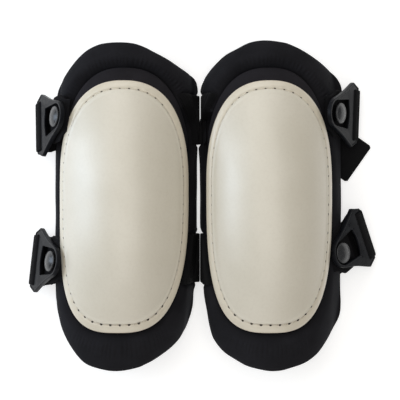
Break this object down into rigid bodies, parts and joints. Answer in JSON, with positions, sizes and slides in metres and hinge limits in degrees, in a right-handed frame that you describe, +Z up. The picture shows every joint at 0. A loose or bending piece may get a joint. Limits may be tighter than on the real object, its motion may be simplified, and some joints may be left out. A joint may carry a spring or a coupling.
{
  "type": "pair of knee pads",
  "caption": "A pair of strap-on knee pads: cream domed caps stitched to black padded arches, with elastic straps, triangular hook clips and studs.",
  "frame": {"origin": "on the floor, below the middle of the pair", "axes": "+X from the left pad to the right pad, +Y towards the thigh end, +Z up, out of the caps"},
  "size_m": [0.3268, 0.3041, 0.0797],
  "materials": {
    "cream_leather": "smooth, slightly glossy",
    "thread": "twisted thread",
    "brown_backing": "matte",
    "black_fabric": "matte woven",
    "foam": "matte foam",
    "liner_fabric": "matte knitted",
    "webbing": "matte woven",
    "elastic": "ribbed",
    "black_plastic": "satin",
    "stud_plastic": "glossy"
  },
  "bodies": {
    "left_pad": {"left_border_roll": "black_fabric", "left_cap": "cream_leather", "left_cap_backing": "brown_backing", "left_cap_stitching": "thread", "left_crown_foam": "foam", "left_crown_panel": "black_fabric", "left_edge_binding": "webbing", "left_foam_core": "foam", "left_inner_liner": "liner_fabric", "left_lower_strap": "elastic", "left_lower_stud_washer": "stud_plastic", "left_lower_tab": "webbing", "left_upper_strap": "elastic", "left_upper_stud_washer": "stud_plastic", "left_upper_tab": "webbing"},
    "right_pad": {"right_border_roll": "black_fabric", "right_cap": "cream_leather", "right_cap_backing": "brown_backing", "right_cap_stitching": "thread", "right_crown_foam": "foam", "right_crown_panel": "black_fabric", "right_edge_binding": "webbing", "right_foam_core": "foam", "right_inner_liner": "liner_fabric", "right_lower_strap": "elastic", "right_lower_stud_washer": "stud_plastic", "right_lower_tab": "webbing", "right_upper_strap": "elastic", "right_upper_strap_tail": "elastic", "right_upper_stud_washer": "stud_plastic", "right_upper_tab": "webbing"},
    "left_upper_button": {"left_upper_button": "stud_plastic"},
    "left_upper_clip": {"left_upper_clip": "black_plastic", "left_upper_strap_loop": "elastic"},
    "left_lower_button": {"left_lower_button": "stud_plastic"},
    "left_lower_clip": {"left_lower_clip": "black_plastic", "left_lower_strap_loop": "elastic"},
    "right_upper_button": {"right_upper_button": "stud_plastic"},
    "right_upper_clip": {"right_upper_clip": "black_plastic", "right_upper_strap_loop": "elastic"},
    "right_lower_button": {"right_lower_button": "stud_plastic"},
    "right_lower_clip": {"right_lower_clip": "black_plastic", "right_lower_strap_loop": "elastic"}
  },
  "joints": [
    {"name": "pads_apart", "type": "slide", "parent": "left_pad", "child": "right_pad", "axis": [1, 0, 0], "range_m": [0, 0.1]},
    {"name": "left_upper_swivel", "type": "hinge", "parent": "left_pad", "child": "left_upper_button", "pos_m": [-0.13461, 0.08057, 0.0423], "axis": [-0.8539, 0.0747, 0.515], "range_deg": [-12, 12], "deforming": ["left_upper_strap"]},
    {"name": "left_upper_hook_slide", "type": "slide", "parent": "left_upper_button", "child": "left_upper_clip", "axis": [-0.5182, -0.2145, -0.828], "range_m": [-0.008, 0.0005], "deforming": ["left_upper_strap"]},
    {"name": "left_lower_swivel", "type": "hinge", "parent": "left_pad", "child": "left_lower_button", "pos_m": [-0.13903, -0.05082, 0.04079], "axis": [-0.8387, 0.1254, 0.5299], "range_deg": [-12, 12], "deforming": ["left_lower_strap"]},
    {"name": "left_lower_hook_slide", "type": "slide", "parent": "left_lower_button", "child": "left_lower_clip", "axis": [-0.535, -0.0082, -0.8448], "range_m": [-0.0045, 0.001], "deforming": ["left_lower_strap"]},
    {"name": "right_upper_swivel", "type": "hinge", "parent": "right_pad", "child": "right_upper_button", "pos_m": [0.12626, 0.08403, 0.0363], "axis": [0.818, -0.0429, 0.5736], "range_deg": [-12, 12], "deforming": ["right_upper_strap"]},
    {"name": "right_upper_hook_slide", "type": "slide", "parent": "right_upper_button", "child": "right_upper_clip", "axis": [0.5743, 0.0049, -0.8187], "range_m": [-0.0045, 0.0015], "deforming": ["right_upper_strap"]},
    {"name": "right_lower_swivel", "type": "hinge", "parent": "right_pad", "child": "right_lower_button", "pos_m": [0.12838, -0.04347, 0.03703], "axis": [0.693, 0.0485, 0.7193], "range_deg": [-12, 12], "deforming": ["right_lower_strap"]},
    {"name": "right_lower_hook_slide", "type": "slide", "parent": "right_lower_button", "child": "right_lower_clip", "axis": [0.6392, 0.4202, -0.6441], "range_m": [-0.0014, 0], "deforming": ["right_lower_strap"]}
  ]
}
